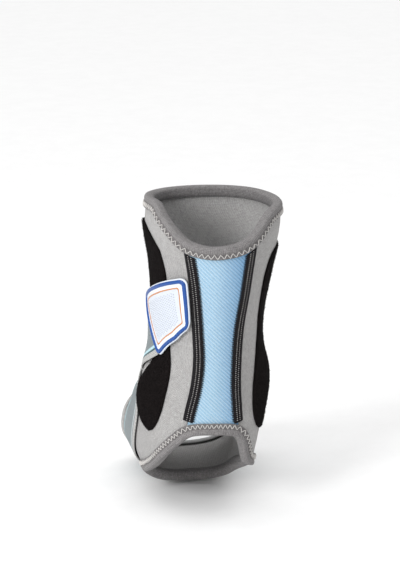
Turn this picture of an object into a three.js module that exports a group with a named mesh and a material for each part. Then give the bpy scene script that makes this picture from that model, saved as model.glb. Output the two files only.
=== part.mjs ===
// A knitted ankle brace, open at the heel and the toes, with two elastic straps that cross on the
// instep and end in moulded grips.
// Millimetres: +Z up, +Y towards the toe end, +X to the inner side of a left brace.
// The origin lies on the upright axis, at the height of the bend.

import * as THREE from "three";

// Driving sizes

const formHeight = 240; // from the underside to the highest section
const formLength = 160; // from the hindmost point to the last section
const formWidth = 80; // across the toe end
const ankleHeight = 78; // from the underside to the origin

const wallThickness = 3; // knitted sleeve and back panel
const jointGap = 0.3; // between pieces that meet edge to edge
const layerGap = 0.45; // between pieces that lie on each other
const foldGap = 0.95; // between the sleeve's outside and a binding's outer fold
const liningGap = 1.1; // between the sleeve's inside and a binding's inner fold
const strapGap = 1.0; // between a strap and the sleeve
const crossingGap = 0.8; // between the straps where they cross

const seamWidth = 7; // black flatlock bands
const seamThickness = 0.8;
const seamBottomGap = 3.4; // between the seams' lower ends and the heel binding, beyond its width
const bindingWidth = 7; // outer fold of the three edge bindings
const bindingThickness = 0.9;
const padThickness = 1.3; // hook-and-loop landing pads
const strapWidth = 43;
const strapThickness = 1.5;
const gripLength = 50; // moulded grips on the straps' ends
const gripWidth = 47; // at the strap
const gripUpperEnd = 23; // half width at the grip's end, on its upper side
const gripLowerEnd = 12.5; // and on the side that faces the underside
const gripSlant = 0.37; // how far the grip's end leans back from the strap's cross line
const gripThickness = 1.3;
const rimWidth = 2.6; // raised rim of a grip
const rimHeight = 0.8;
const rimInset = 1.0;

// Sections of the form, from its upper end over the bend to the toe end.
// A section is a tilted ring. Its front and back points hold shares of the form's length (y)
// and height (z above the underside), and its half width and shift are shares of the form's
// width. Narrowing pulls the back in, and the two powers say how square the front and the back are.
// front y, front z, back y, back z, half width, narrowing, front power, back power, shift
const sections = [
  [0.275, 1.0, -0.325, 0.975, 0.47, 0.05, 2.2, 2.0, 0.05],
  [0.269, 0.862, -0.312, 0.833, 0.553, 0.07, 2.2, 2.0, 0.038],
  [0.256, 0.725, -0.288, 0.688, 0.486, 0.1, 2.2, 2.0, 0.026],
  [0.244, 0.604, -0.262, 0.55, 0.438, 0.13, 2.2, 2.0, 0.004],
  [0.244, 0.504, -0.244, 0.421, 0.428, 0.13, 2.2, 2.0, -0.005],
  [0.262, 0.429, -0.256, 0.3, 0.456, 0.1, 2.2, 2.1, -0.025],
  [0.3, 0.375, -0.294, 0.183, 0.47, 0.05, 2.2, 2.1, -0.049],
  [0.35, 0.333, -0.288, 0.058, 0.454, 0.02, 2.2, 2.2, -0.09],
  [0.406, 0.304, -0.15, 0.004, 0.447, 0.0, 2.2, 2.45, -0.116],
  [0.475, 0.275, 0.088, 0.0, 0.456, 0.0, 2.2, 2.5, -0.1],
  [0.55, 0.242, 0.35, 0.0, 0.484, -0.02, 2.2, 2.5, -0.046],
  [0.631, 0.212, 0.575, 0.0, 0.512, -0.05, 2.2, 2.5, 0.0],
  [0.712, 0.192, 0.75, 0.0, 0.55, -0.08, 2.2, 2.5, 0.012],
];

// The two side bulges: station, angle, height as a share of the width, reach in stations,
// reach in degrees
const bulges = [
  [5.6, -85, 0.088, 0.9, 28],
  [5.1, 92, 0.075, 1.0, 28],
];

// Height of the top edge above the underside, as a share of the form's height, by angle
const topEdge = [
  [-180, 0.893],
  [-140, 0.895],
  [-110, 0.9],
  [-92, 0.905],
  [-77, 0.904],
  [-65, 0.88],
  [-53, 0.851],
  [-38, 0.815],
  [-25, 0.802],
  [-11, 0.798],
  [5, 0.803],
  [15, 0.811],
  [23, 0.824],
  [30, 0.843],
  [38, 0.866],
  [46, 0.882],
  [60, 0.89],
  [80, 0.887],
  [110, 0.887],
  [140, 0.89],
  [180, 0.893],
];
// Reach of the toe edge, as shares of the form's length, above and below
const toeReachTop = 0.588;
const toeReachSole = 0.65;

// Middle lines of the two seams: station, angle
const lateralSeam = [
  [1.1, -37],
  [1.9, -33.5],
  [2.4, -31.2],
  [3.1, -28.3],
  [3.75, -26.3],
  [4.5, -27.5],
  [5.3, -32],
  [5.76, -33.4],
];
const medialSeam = [
  [1.1, 23.7],
  [2.3, 23.3],
  [3.1, 21.6],
  [3.75, 21.2],
  [4.5, 21.3],
  [5.3, 23.4],
  [5.76, 24.2],
];

// The heel opening's edge, from the middle of its top over the seams' ends to the middle of its
// front: row, angle on the inner side, angle on the outer side
const openingEdge = [
  [5.53, -4, -4],
  [5.555, 8, -16],
  [5.63, 18, -26],
  [5.76, 24.2, -33.4],
  [5.96, 28.5, -39.5],
  [6.2, 32, -46],
  [6.45, 37, -51.8],
  [6.7, 46, -56.8],
  [7.0, 55, -60.6],
  [7.4, 60.5, -62.6],
  [7.9, 61, -62.4],
  [8.4, 57, -60],
  [8.85, 48, -52.5],
  [9.2, 34.5, -40.5],
  [9.42, 18.5, -22],
  [9.5, 0, 0],
];
const openingCorner = 3; // the place in the table at which the seams end
const openingEnd = openingEdge.length - 1;

// Outlines of the landing pads: station, back angle, front angle
const lateralPad = [
  [1.1, -95, -109],
  [1.13, -90, -115],
  [1.2, -82, -118],
  [1.32, -75, -118.5],
  [1.47, -68.5, -118],
  [1.84, -65.5, -116],
  [2.14, -64.5, -113],
  [2.8, -63.8, -108],
  [3.4, -63.2, -102],
  [3.8, -62, -95],
  [4.15, -59.5, -88],
  [4.5, -58.2, -89],
  [4.9, -58, -94],
  [5.4, -58.7, -97],
  [5.8, -61.5, -94],
  [6.1, -66, -88],
  [6.26, -71, -82],
];
const medialPad = [
  [1.5, 64, 86],
  [1.55, 57.5, 97],
  [1.64, 54, 105],
  [1.8, 51.8, 111],
  [2.06, 50.2, 117],
  [2.5, 51.5, 123],
  [2.95, 54.5, 126],
  [3.4, 57, 127],
  [3.9, 55.5, 124],
  [4.34, 51.5, 119],
  [4.71, 46.8, 113],
  [5.15, 45, 107],
  [5.5, 46.2, 100],
  [5.8, 50, 92],
  [6.02, 57, 84],
  [6.12, 64, 78],
];

// Middle lines of the straps, from the grip's end over the instep to the end sewn to the
// underside: station, angle
const lateralStrapLine = [
  [2.42, -21],
  [2.56, -36],
  [2.68, -48],
  [2.88, -62.5],
  [3.26, -84],
  [3.85, -106],
  [4.7, -133],
  [5.7, -160],
  [6.65, -185],
  [7.6, -212],
  [8.4, -240],
  [9.15, -268],
  [9.8, -292],
  [10.2, -314],
  [10.35, -336],
];
const medialStrapLine = [
  [2.72, 95],
  [3.02, 113],
  [3.48, 132],
  [4.15, 149],
  [4.85, 165],
  [5.55, 182],
  [6.4, 206],
  [7.4, 230],
  [8.5, 253],
  [9.45, 273],
  [10.0, 290],
  [10.25, 308],
  [10.3, 328],
];

// Fineness

const bodyColumns = 28;
const panelColumns = 6;
const aboveOpeningRows = 14;
const openingRows = 17;
const toeRows = 5;
const turnWeight = 0.3 * formWidth; // length that one radian of turning counts for

const degrees = Math.PI / 180;

function mix(a, b, share) {
  return a + (b - a) * share;
}

function smooth(share) {
  const x = Math.min(Math.max(share, 0), 1);
  return x * x * (3 - 2 * x);
}

// A smooth curve through the rows of a table, at a place counted in rows
function alongTable(table, place) {
  const last = table.length - 1;
  const x = Math.min(Math.max(place, 0), last - 1e-9);
  const i = Math.floor(x);
  const f = x - i;
  const b = table[i];
  const c = table[i + 1];
  return b.map((value, k) => {
    const p1 = value;
    const p2 = c[k];
    const p0 = i > 0 ? table[i - 1][k] : 2 * p1 - p2;
    const p3 = i < last - 1 ? table[i + 2][k] : 2 * p2 - p1;
    const bend = 2 * p0 - 5 * p1 + 4 * p2 - p3 + f * (3 * (p1 - p2) + p3 - p0);
    return p1 + 0.5 * f * (p2 - p0 + f * bend);
  });
}

// The columns of a table at a value of its first column
function atValue(table, value) {
  let i = 0;
  while (i < table.length - 2 && table[i + 1][0] < value) {
    i += 1;
  }
  const f = (value - table[i][0]) / (table[i + 1][0] - table[i][0]);
  return alongTable(table, i + Math.min(Math.max(f, 0), 1));
}

// Where a value lies in a rising list, as a whole and a broken count
function atStraight(values, value) {
  let i = 0;
  while (i < values.length - 2 && values[i + 1] < value) {
    i += 1;
  }
  return [i, i + (value - values[i]) / (values[i + 1] - values[i])];
}

// Shares of a line of places that cut it into steps, shorter where the form turns sharply
function evenShares(places, steps) {
  const points = places.map((place) => onForm(place.station, place.angle));
  const last = places.length - 1;
  const lengths = [0];
  for (let i = 1; i <= last; i += 1) {
    const run = points[i].clone().sub(points[i - 1]);
    const before = points[i - 1].clone().sub(points[Math.max(i - 2, 0)]);
    const turn = i > 1 ? run.angleTo(before) : 0;
    lengths.push(lengths[i - 1] + run.length() + turnWeight * turn);
  }
  return Array.from({ length: steps + 1 }, (_, i) => atStraight(lengths, (lengths[last] * i) / steps)[1] / last);
}

// The form's surface. The angle is 0 in the middle of the back and of the underside, and 90 on
// the inner side.
function onForm(station, angle) {
  const [fy, fz, by, bz, halfWidth, narrowing, frontPower, backPower, shift] = alongTable(sections, station);
  const c = Math.cos(angle * degrees);
  const s = Math.sin(angle * degrees);
  const power = mix(frontPower, backPower, (1 + c) / 2);
  const r = (Math.abs(s) ** power + Math.abs(c) ** power) ** (-1 / power);
  const along = c * r;
  let x = halfWidth * s * r * (1 - narrowing * along) + shift;
  for (const [bulgeStation, bulgeAngle, height, reach, spread] of bulges) {
    const fall = ((station - bulgeStation) / reach) ** 2 + (wrapped(angle - bulgeAngle) / spread) ** 2;
    x += Math.sign(bulgeAngle) * height * Math.exp(-fall);
  }
  const y = mix(fy, by, (1 + along) / 2);
  const z = mix(fz, bz, (1 + along) / 2);
  return new THREE.Vector3(x * formWidth, y * formLength, z * formHeight - ankleHeight);
}

// How the surface moves for one station and for one degree
function tangents(station, angle) {
  const ds = 1e-3;
  const da = 1e-2;
  const along = onForm(station + ds, angle).sub(onForm(station - ds, angle)).divideScalar(2 * ds);
  const around = onForm(station, angle + da).sub(onForm(station, angle - da)).divideScalar(2 * da);
  return { along, around };
}

function outward(station, angle) {
  const { along, around } = tangents(station, angle);
  return along.cross(around).normalize();
}

// The point at a height over the surface
function raised(place, height) {
  return onForm(place.station, place.angle).addScaledVector(outward(place.station, place.angle), height);
}

// Moves a place over the surface in the straightest line, and turns the direction with it
function walk(place, direction, length) {
  const steps = Math.max(1, Math.ceil(Math.abs(length) / 2));
  let { station, angle } = place;
  const heading = direction.clone();
  for (let i = 0; i < steps; i += 1) {
    const { along, around } = tangents(station, angle);
    const aa = along.dot(along);
    const ar = along.dot(around);
    const rr = around.dot(around);
    const size = aa * rr - ar * ar;
    const da = heading.dot(along);
    const dr = heading.dot(around);
    const part = length / steps;
    station += ((da * rr - dr * ar) / size) * part;
    angle += ((dr * aa - da * ar) / size) * part;
    const normal = outward(station, angle);
    heading.addScaledVector(normal, -heading.dot(normal)).normalize();
  }
  return { station, angle, heading };
}

// Finds where a quantity of the surface reaches a value, between two stations
function stationWhere(quantity, target, from, to) {
  let low = from;
  let high = to;
  const rising = quantity(to) > quantity(from);
  for (let i = 0; i < 40; i += 1) {
    const middle = (low + high) / 2;
    if (quantity(middle) < target === rising) {
      low = middle;
    } else {
      high = middle;
    }
  }
  return (low + high) / 2;
}

function wrapped(angle) {
  return ((((angle + 180) % 360) + 360) % 360) - 180;
}

function topStation(angle) {
  const target = atValue(topEdge, wrapped(angle))[1] * formHeight - ankleHeight;
  return stationWhere((station) => onForm(station, angle).z, target, 0, 3);
}

function toeStation(angle) {
  const target = mix(toeReachTop, toeReachSole, (1 + Math.cos(angle * degrees)) / 2) * formLength;
  return stationWhere((station) => onForm(station, angle).y, target, 9.6, 12);
}

// The brace's own rows run from its top edge to its toe edge. Between the edges and the fade
// stations a row bends from the form's section to the edge.
const topRow = 0.4;
const topFade = 3.2;
const toeFade = 9.6;
const toeRow = 11;

function onBrace(row, angle) {
  let station = row;
  if (row < topFade) {
    station += (topStation(angle) - topRow) * (1 - smooth((row - topRow) / (topFade - topRow)));
  }
  if (row > toeFade) {
    station += (toeStation(angle) - toeRow) * smooth((row - toeFade) / (toeRow - toeFade));
  }
  return { station, angle };
}

// The angle of a seam on one of the brace's rows
function seamAngle(table, row) {
  let angle = atValue(table, row)[1];
  for (let i = 0; i < 6; i += 1) {
    angle = atValue(table, onBrace(row, angle).station)[1];
  }
  return angle;
}

// The row of the heel opening's edge at an angle above the seams' ends
function openingRow(angle) {
  const side = angle < openingEdge[0][1] ? 2 : 1;
  const place = stationWhere((x) => alongTable(openingEdge, x)[side], angle, 0, openingCorner);
  return alongTable(openingEdge, place)[0];
}

// A closed solid from a triangle list, turned so that its faces point outwards
function solid(points, faces) {
  let volume = 0;
  for (const [a, b, c] of faces) {
    volume += points[a].dot(points[b].clone().cross(points[c]));
  }
  const positions = [];
  for (const [a, b, c] of faces) {
    const corners = volume > 0 ? [a, b, c] : [a, c, b];
    for (const corner of corners) {
      positions.push(points[corner].x, points[corner].y, points[corner].z);
    }
  }
  const geometry = new THREE.BufferGeometry();
  geometry.setAttribute("position", new THREE.Float32BufferAttribute(positions, 3));
  geometry.computeVertexNormals();
  return geometry;
}

// A sheet with a thickness over a grid of places: a row may close on itself
function sheet(grid, low, high, closed = () => false) {
  const rows = grid.length;
  const columns = grid[0].length;
  const lowAt = typeof low === "function" ? low : () => low;
  const highAt = typeof high === "function" ? high : () => high;
  const points = [];
  const index = grid.map((row, r) =>
    row.map((place, c) => {
      points.push(raised(place, lowAt(r, c)), raised(place, highAt(r, c)));
      return points.length - 2;
    })
  );
  for (let r = 0; r < rows; r += 1) {
    if (closed(r)) {
      index[r][columns - 1] = index[r][0];
    }
  }
  const faces = [];
  const quad = (a, b, c, d) => {
    faces.push([a, b, c], [a, c, d]);
  };
  for (let r = 0; r + 1 < rows; r += 1) {
    for (let c = 0; c + 1 < columns; c += 1) {
      const [a, b] = [index[r][c], index[r][c + 1]];
      const [d, e] = [index[r + 1][c], index[r + 1][c + 1]];
      quad(a + 1, b + 1, e + 1, d + 1);
      quad(a, d, e, b);
    }
    if (!(closed(r) && closed(r + 1))) {
      const last = columns - 1;
      quad(index[r][0], index[r][0] + 1, index[r + 1][0] + 1, index[r + 1][0]);
      quad(index[r][last] + 1, index[r][last], index[r + 1][last], index[r + 1][last] + 1);
    }
  }
  for (let c = 0; c + 1 < columns; c += 1) {
    const last = rows - 1;
    quad(index[0][c] + 1, index[0][c], index[0][c + 1], index[0][c + 1] + 1);
    quad(index[last][c], index[last][c] + 1, index[last][c + 1] + 1, index[last][c + 1]);
  }
  return solid(points, faces);
}

// A profile carried round a closed loop of rings
function loopSolid(rings) {
  const points = rings.flat();
  const count = rings[0].length;
  const faces = [];
  rings.forEach((ring, i) => {
    const here = i * count;
    const next = ((i + 1) % rings.length) * count;
    for (let k = 0; k < count; k += 1) {
      const l = (k + 1) % count;
      faces.push([here + k, here + l, next + l], [here + k, next + l, next + k]);
    }
  });
  return solid(points, faces);
}

// A binding folded over an edge of the brace. The loop's places lie on the edge, and away is +1
// or -1, the side of the loop's direction on which there is no cloth.
function binding(loop, away) {
  const outerLow = wallThickness + foldGap;
  const outerHigh = outerLow + bindingThickness;
  const innerHigh = -liningGap;
  const innerLow = innerHigh - bindingThickness;
  const innerWidth = bindingWidth - 0.8;
  const crown = layerGap + bindingThickness;
  const profile = [
    [-bindingWidth, outerLow],
    [layerGap, outerLow],
    [layerGap, innerHigh],
    [-innerWidth, innerHigh],
    [-innerWidth, innerLow],
    [layerGap, innerLow],
    [crown, mix(innerLow, outerHigh, 0.25)],
    [crown, mix(innerLow, outerHigh, 0.75)],
    [layerGap, outerHigh],
    [-bindingWidth, outerHigh],
  ];
  const points = loop.map((place) => onForm(place.station, place.angle));
  const rings = loop.map((place, i) => {
    const next = points[(i + 1) % points.length];
    const before = points[(i + points.length - 1) % points.length];
    const normal = outward(place.station, place.angle);
    const side = next.clone().sub(before).cross(normal).normalize().multiplyScalar(away);
    return profile.map(([out, height]) => {
      if (out > 0) {
        return raised(place, height).addScaledVector(side, out);
      }
      return raised(walk(place, side, out), height);
    });
  });
  return loopSolid(rings);
}

// The brace's rows

const cornerRow = openingEdge[openingCorner][0];
const jointHalfAngle = ((jointGap / 2 / (formWidth / 2)) * 180) / Math.PI;

const upperRows = Array.from({ length: aboveOpeningRows + 1 }, (_, i) => {
  const share = i / aboveOpeningRows;
  return mix(topRow, cornerRow, share * mix(0.55, 1, Math.min(share / 0.3, 1)));
});
const besideOpening = Array.from({ length: openingRows }, (_, i) =>
  alongTable(openingEdge, mix(openingCorner, openingEnd, (i + 1) / openingRows))
);
const toeRowList = Array.from({ length: toeRows }, (_, i) => {
  const share = (i + 1) / toeRows;
  return mix(openingEdge[openingEnd][0], toeRow, share * mix(1.25, 1, share));
});

// The angles of the sleeve's two edges along the seams
function seamEdges(row) {
  return { row, medial: seamAngle(medialSeam, row), lateral: seamAngle(lateralSeam, row) };
}

// Sleeve and back panel

function evenColumns(row, from, to, columns) {
  const places = Array.from({ length: 145 }, (_, i) => onBrace(row, mix(from, to, i / 144)));
  return evenShares(places, columns).map((share) => onBrace(row, mix(from, to, share)));
}

const bodyEdges = [
  ...upperRows.map(seamEdges),
  ...besideOpening.map(([row, medial, lateral]) => ({ row, medial, lateral })),
  ...toeRowList.map((row) => ({ row, medial: 0, lateral: 0 })),
];
const bodyGrid = bodyEdges.map(({ row, medial, lateral }, r) => {
  const gap = r <= aboveOpeningRows ? jointHalfAngle : 0;
  return evenColumns(row, medial + gap, 360 + lateral - gap, bodyColumns);
});
const closedFrom = aboveOpeningRows + openingRows;
const bodyGeometry = sheet(bodyGrid, 0, wallThickness, (r) => r >= closedFrom);

const panelCorners = seamEdges(cornerRow);
const panelGrid = upperRows.map((row) => {
  const edges = seamEdges(row);
  return Array.from({ length: panelColumns + 1 }, (_, c) => {
    const share = c / panelColumns;
    const angle = mix(edges.lateral + jointHalfAngle, edges.medial - jointHalfAngle, share);
    const bottom = openingRow(mix(panelCorners.lateral, panelCorners.medial, share));
    const ownRow = topRow + ((row - topRow) * (bottom - topRow)) / (cornerRow - topRow);
    return onBrace(ownRow, angle);
  });
});
const panelGeometry = sheet(panelGrid, 0, wallThickness);

// Edge bindings

const topLoop = [...bodyGrid[0], ...panelGrid[0]];
const toeLoop = bodyGrid[bodyGrid.length - 1].slice(0, bodyColumns);
const lastPanelRow = panelGrid[panelGrid.length - 1];
const heelLoop = [
  ...lastPanelRow,
  ...bodyGrid.slice(aboveOpeningRows, closedFrom + 1).map((row) => row[0]),
  ...bodyGrid
    .slice(aboveOpeningRows, closedFrom)
    .reverse()
    .map((row) => row[bodyColumns]),
];

// Flatlock bands over the two seams

function seamGrid(table) {
  const rows = 18;
  const clear = bindingWidth + layerGap;
  const topAngle = seamAngle(table, topRow);
  const spot = (row, angle) => {
    const place = onBrace(row, angle);
    return onForm(place.station, place.angle);
  };
  const edge = spot(topRow, topAngle + 4).sub(spot(topRow, topAngle - 4)).normalize();
  const awayFromTop = (row) => {
    const apart = spot(row, seamAngle(table, row)).sub(spot(topRow, topAngle));
    return apart.addScaledVector(edge, -apart.dot(edge)).length();
  };
  const corner = spot(cornerRow, seamAngle(table, cornerRow));
  const first = stationWhere(awayFromTop, clear, topRow, topRow + 2);
  const nearBottom = (row) => spot(row, seamAngle(table, row)).distanceTo(corner);
  const last = stationWhere(nearBottom, clear + seamBottomGap, cornerRow - 1, cornerRow);
  return Array.from({ length: rows + 1 }, (_, i) => {
    const row = mix(first, last, i / rows);
    const angle = seamAngle(table, row);
    const perDegree = tangents(onBrace(row, angle).station, angle).around.length();
    return [-1, 0, 1].map((side) => onBrace(row, angle + (side * seamWidth) / 2 / perDegree));
  });
}

function seamGeometry(table) {
  const low = wallThickness + layerGap;
  return sheet(seamGrid(table), low, low + seamThickness);
}

// Landing pads

function padGeometry(table, rows, columns) {
  const first = table[0][0];
  const last = table[table.length - 1][0];
  const grid = Array.from({ length: rows + 1 }, (_, i) => {
    const share = (1 - Math.cos((Math.PI * i) / rows)) / 2;
    const station = mix(first, last, mix(i / rows, share, 0.6));
    const [, back, front] = atValue(table, station);
    return Array.from({ length: columns + 1 }, (_, c) => ({ station, angle: mix(back, front, c / columns) }));
  });
  const low = wallThickness + layerGap;
  return sheet(grid, low, low + padThickness);
}

// Straps

// A line of places, measured in millimetres along the surface
function measuredLine(table) {
  const count = 12 * (table.length - 1);
  const marks = Array.from({ length: count + 1 }, (_, i) => {
    const [station, angle] = alongTable(table, i / 12);
    return { station, angle, point: onForm(station, angle) };
  });
  const lengths = [0];
  for (let i = 1; i <= count; i += 1) {
    lengths.push(lengths[i - 1] + marks[i].point.distanceTo(marks[i - 1].point));
  }
  const placeAt = (length) => {
    const [, share] = atStraight(lengths, Math.min(Math.max(length, 0), lengths[count]));
    const [station, angle] = alongTable(table, share / 12);
    return { station, angle };
  };
  return { length: lengths[count], placeAt };
}

// The place at a length along a line and a distance across it
function beside(line, length, across) {
  const place = line.placeAt(length);
  const reach = 1.5;
  const ahead = line.placeAt(Math.min(length + reach, line.length));
  const behind = line.placeAt(Math.max(length - reach, 0));
  const heading = onForm(ahead.station, ahead.angle).sub(onForm(behind.station, behind.angle));
  const side = outward(place.station, place.angle).cross(heading).normalize();
  return walk(place, side, across);
}

const strapLow = wallThickness + strapGap;
const strapOverPad = wallThickness + layerGap + padThickness + strapGap;
const strapOverStrap = strapLow + strapThickness + crossingGap;

// A strap from its grip's front edge on. It lies high over the pad and the other strap, and comes
// down to the sleeve between two lengths.
function strapGeometry(line, high, fallFrom, fallTo) {
  const rows = 30;
  const columns = 6;
  const start = gripLead + gripLength + jointGap;
  const places = Array.from({ length: 145 }, (_, i) => line.placeAt(mix(start, line.length, i / 144)));
  const lengths = evenShares(places, rows).map((share) => mix(start, line.length, share));
  const grid = lengths.map((length) =>
    Array.from({ length: columns + 1 }, (_, c) => beside(line, length, strapWidth * (c / columns - 0.5)))
  );
  const low = (r) => mix(high, strapLow, smooth((lengths[r] - fallFrom) / (fallTo - fallFrom)));
  return sheet(grid, low, (r) => low(r) + strapThickness);
}

// Grips: a plate with round corners, narrower at its end, and a raised rim round it

const gripEndRound = 6;
const gripFrontRound = 4;
const gripLead = 10; // from the line's start to the middle of the grip's end
const gripTaper = 1.6; // how soon the grip reaches its full width

// Half the width at a length, on the side +1 that faces the underside or on the side -1
function gripHalfWidth(length, side) {
  const end = side > 0 ? gripLowerEnd : gripUpperEnd;
  const half = mix(gripWidth / 2, end, Math.max(1 - length / gripLength, 0) ** gripTaper);
  const fromEnd = Math.max(gripEndRound - length, 0);
  const fromFront = Math.max(gripFrontRound - (gripLength - length), 0);
  const cutEnd = gripEndRound - Math.sqrt(gripEndRound ** 2 - fromEnd ** 2);
  const cutFront = gripFrontRound - Math.sqrt(gripFrontRound ** 2 - fromFront ** 2);
  return half - cutEnd - cutFront;
}

function gripLengths() {
  const list = [0, 0.05, 0.2, 0.5, 1].map((share) => share * gripEndRound);
  const straight = 4;
  for (let i = 1; i <= straight; i += 1) {
    list.push(mix(gripEndRound, gripLength - gripFrontRound, i / straight));
  }
  for (const share of [0.5, 0.8, 0.95, 1]) {
    list.push(mix(gripLength - gripFrontRound, gripLength, share));
  }
  return list;
}

// A spot on a grip. Down is +1 or -1, the side of the line that faces the underside.
function onGrip(line, down, length, across) {
  const slant = gripSlant * across * (1 - length / gripLength);
  return beside(line, length + slant + gripLead, down * across);
}

function gripGeometry(line, down, low) {
  const columns = 6;
  const grid = gripLengths().map((length) => {
    const upper = -gripHalfWidth(length, -1);
    const lower = gripHalfWidth(length, 1);
    return Array.from({ length: columns + 1 }, (_, c) => onGrip(line, down, length, mix(upper, lower, c / columns)));
  });
  return sheet(grid, low, low + gripThickness);
}

function rimGeometry(line, down, low) {
  const lengths = gripLengths();
  const edge = (side) => lengths.map((length) => new THREE.Vector2(length, side * gripHalfWidth(length, side)));
  const across = (length, count) => {
    const lower = gripHalfWidth(length, 1);
    const upper = -gripHalfWidth(length, -1);
    return Array.from({ length: count }, (_, i) => new THREE.Vector2(length, mix(lower, upper, (i + 1) / (count + 1))));
  };
  const outline = [
    ...edge(1),
    ...across(gripLength, 5),
    ...edge(-1).reverse(),
    ...across(0, 3).reverse(),
  ];
  const count = outline.length;
  const inward = outline.map((point, i) => {
    const next = outline[(i + 1) % count];
    const before = outline[(i + count - 1) % count];
    const run = next.clone().sub(before).normalize();
    return new THREE.Vector2(run.y, -run.x);
  });
  const profile = [
    [rimInset, 0],
    [rimInset, rimHeight * 0.6],
    [rimInset + rimWidth * 0.2, rimHeight],
    [rimInset + rimWidth * 0.8, rimHeight],
    [rimInset + rimWidth, rimHeight * 0.6],
    [rimInset + rimWidth, 0],
  ];
  const rings = outline.map((point, i) =>
    profile.map(([inset, height]) => {
      const spot = point.clone().addScaledVector(inward[i], inset);
      return raised(onGrip(line, down, spot.x, spot.y), low + height);
    })
  );
  return loopSolid(rings);
}

// The whole brace

const materials = {
  knit: new THREE.MeshStandardMaterial({ color: 0xb9babb, roughness: 0.95, metalness: 0 }),
  panel: new THREE.MeshStandardMaterial({ color: 0xa6d3ec, roughness: 0.85, metalness: 0 }),
  black: new THREE.MeshStandardMaterial({ color: 0x1d1c1e, roughness: 0.95, metalness: 0 }),
  binding: new THREE.MeshStandardMaterial({ color: 0x8c8d90, roughness: 0.9, metalness: 0 }),
  hem: new THREE.MeshStandardMaterial({ color: 0xc9cbcc, roughness: 0.9, metalness: 0 }),
  strap: new THREE.MeshStandardMaterial({ color: 0x6f8287, roughness: 0.85, metalness: 0 }),
  grip: new THREE.MeshStandardMaterial({ color: 0xeef1f6, roughness: 0.4, metalness: 0 }),
  rim: new THREE.MeshStandardMaterial({ color: 0x1f62ad, roughness: 0.35, metalness: 0 }),
};

const brace = new THREE.Group();

function add(name, geometry, material) {
  const mesh = new THREE.Mesh(geometry, material);
  mesh.name = name;
  brace.add(mesh);
}

add("body", bodyGeometry, materials.knit);
add("achilles_panel", panelGeometry, materials.panel);
add("lateral_seam", seamGeometry(lateralSeam), materials.black);
add("medial_seam", seamGeometry(medialSeam), materials.black);
add("top_binding", binding(topLoop, -1), materials.binding);
add("heel_binding", binding(heelLoop, 1), materials.binding);
add("toe_binding", binding(toeLoop, 1), materials.hem);
add("lateral_loop_pad", padGeometry(lateralPad, 22, 6), materials.black);
add("medial_loop_pad", padGeometry(medialPad, 22, 6), materials.black);

// Each strap's height under its grip, and the lengths between which it comes down to the sleeve
const lateralLine = measuredLine(lateralStrapLine);
const medialLine = measuredLine(medialStrapLine);
const lateralFall = [66, 92];
const medialFall = [122, 150];
const rimOver = gripThickness + layerGap;
add("lateral_strap", strapGeometry(lateralLine, strapOverPad, ...lateralFall), materials.strap);
add("medial_strap", strapGeometry(medialLine, strapOverStrap, ...medialFall), materials.strap);
add("lateral_tab", gripGeometry(lateralLine, 1, strapOverPad), materials.grip);
add("lateral_tab_rim", rimGeometry(lateralLine, 1, strapOverPad + rimOver), materials.rim);
add("medial_tab", gripGeometry(medialLine, -1, strapOverStrap), materials.grip);
add("medial_tab_rim", rimGeometry(medialLine, -1, strapOverStrap + rimOver), materials.rim);

export default brace;
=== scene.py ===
# A knitted ankle brace, dressed over its CAD frame.
# Shapes are worked out in millimetres, on the same form as the CAD source, and made in metres.

import math

import bpy
import numpy as np
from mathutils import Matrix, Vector


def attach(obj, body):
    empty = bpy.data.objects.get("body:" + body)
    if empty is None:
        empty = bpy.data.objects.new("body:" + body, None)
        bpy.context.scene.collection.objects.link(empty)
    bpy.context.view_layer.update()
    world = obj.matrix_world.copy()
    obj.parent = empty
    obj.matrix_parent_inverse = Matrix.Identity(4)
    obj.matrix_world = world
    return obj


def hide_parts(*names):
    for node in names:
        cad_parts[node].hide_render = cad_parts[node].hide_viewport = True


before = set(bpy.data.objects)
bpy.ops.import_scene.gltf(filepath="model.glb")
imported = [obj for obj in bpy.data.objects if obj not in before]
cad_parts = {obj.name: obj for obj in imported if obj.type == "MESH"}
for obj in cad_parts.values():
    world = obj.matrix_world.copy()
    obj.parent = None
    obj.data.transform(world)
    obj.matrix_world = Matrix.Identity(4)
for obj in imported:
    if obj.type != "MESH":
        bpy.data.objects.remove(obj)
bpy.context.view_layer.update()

# Sizes of the form and of the brace

FORM_HEIGHT = 240.0
FORM_LENGTH = 160.0
FORM_WIDTH = 80.0
ANKLE_HEIGHT = 78.0
WALL = 3.0
JOINT_GAP = 0.3
SEAM_WIDTH = 7.0
BINDING_WIDTH = 7.0
STRAP_WIDTH = 43.0
STRAP_THICKNESS = 1.5
GRIP_LENGTH = 50.0
GRIP_WIDTH = 47.0
GRIP_UPPER_END = 23.0
GRIP_LOWER_END = 12.5
GRIP_SLANT = 0.37
GRIP_LEAD = 10.0

# Heights over the form at which the layers lie
SEAM_LOW = 3.4
SEAM_TOP = 4.25
PAD_LOW = 3.4
PAD_TOP = 4.75
STRAP_LOW = 4.0
STRAP_OVER_PAD = 5.75
STRAP_OVER_STRAP = 6.3

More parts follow.
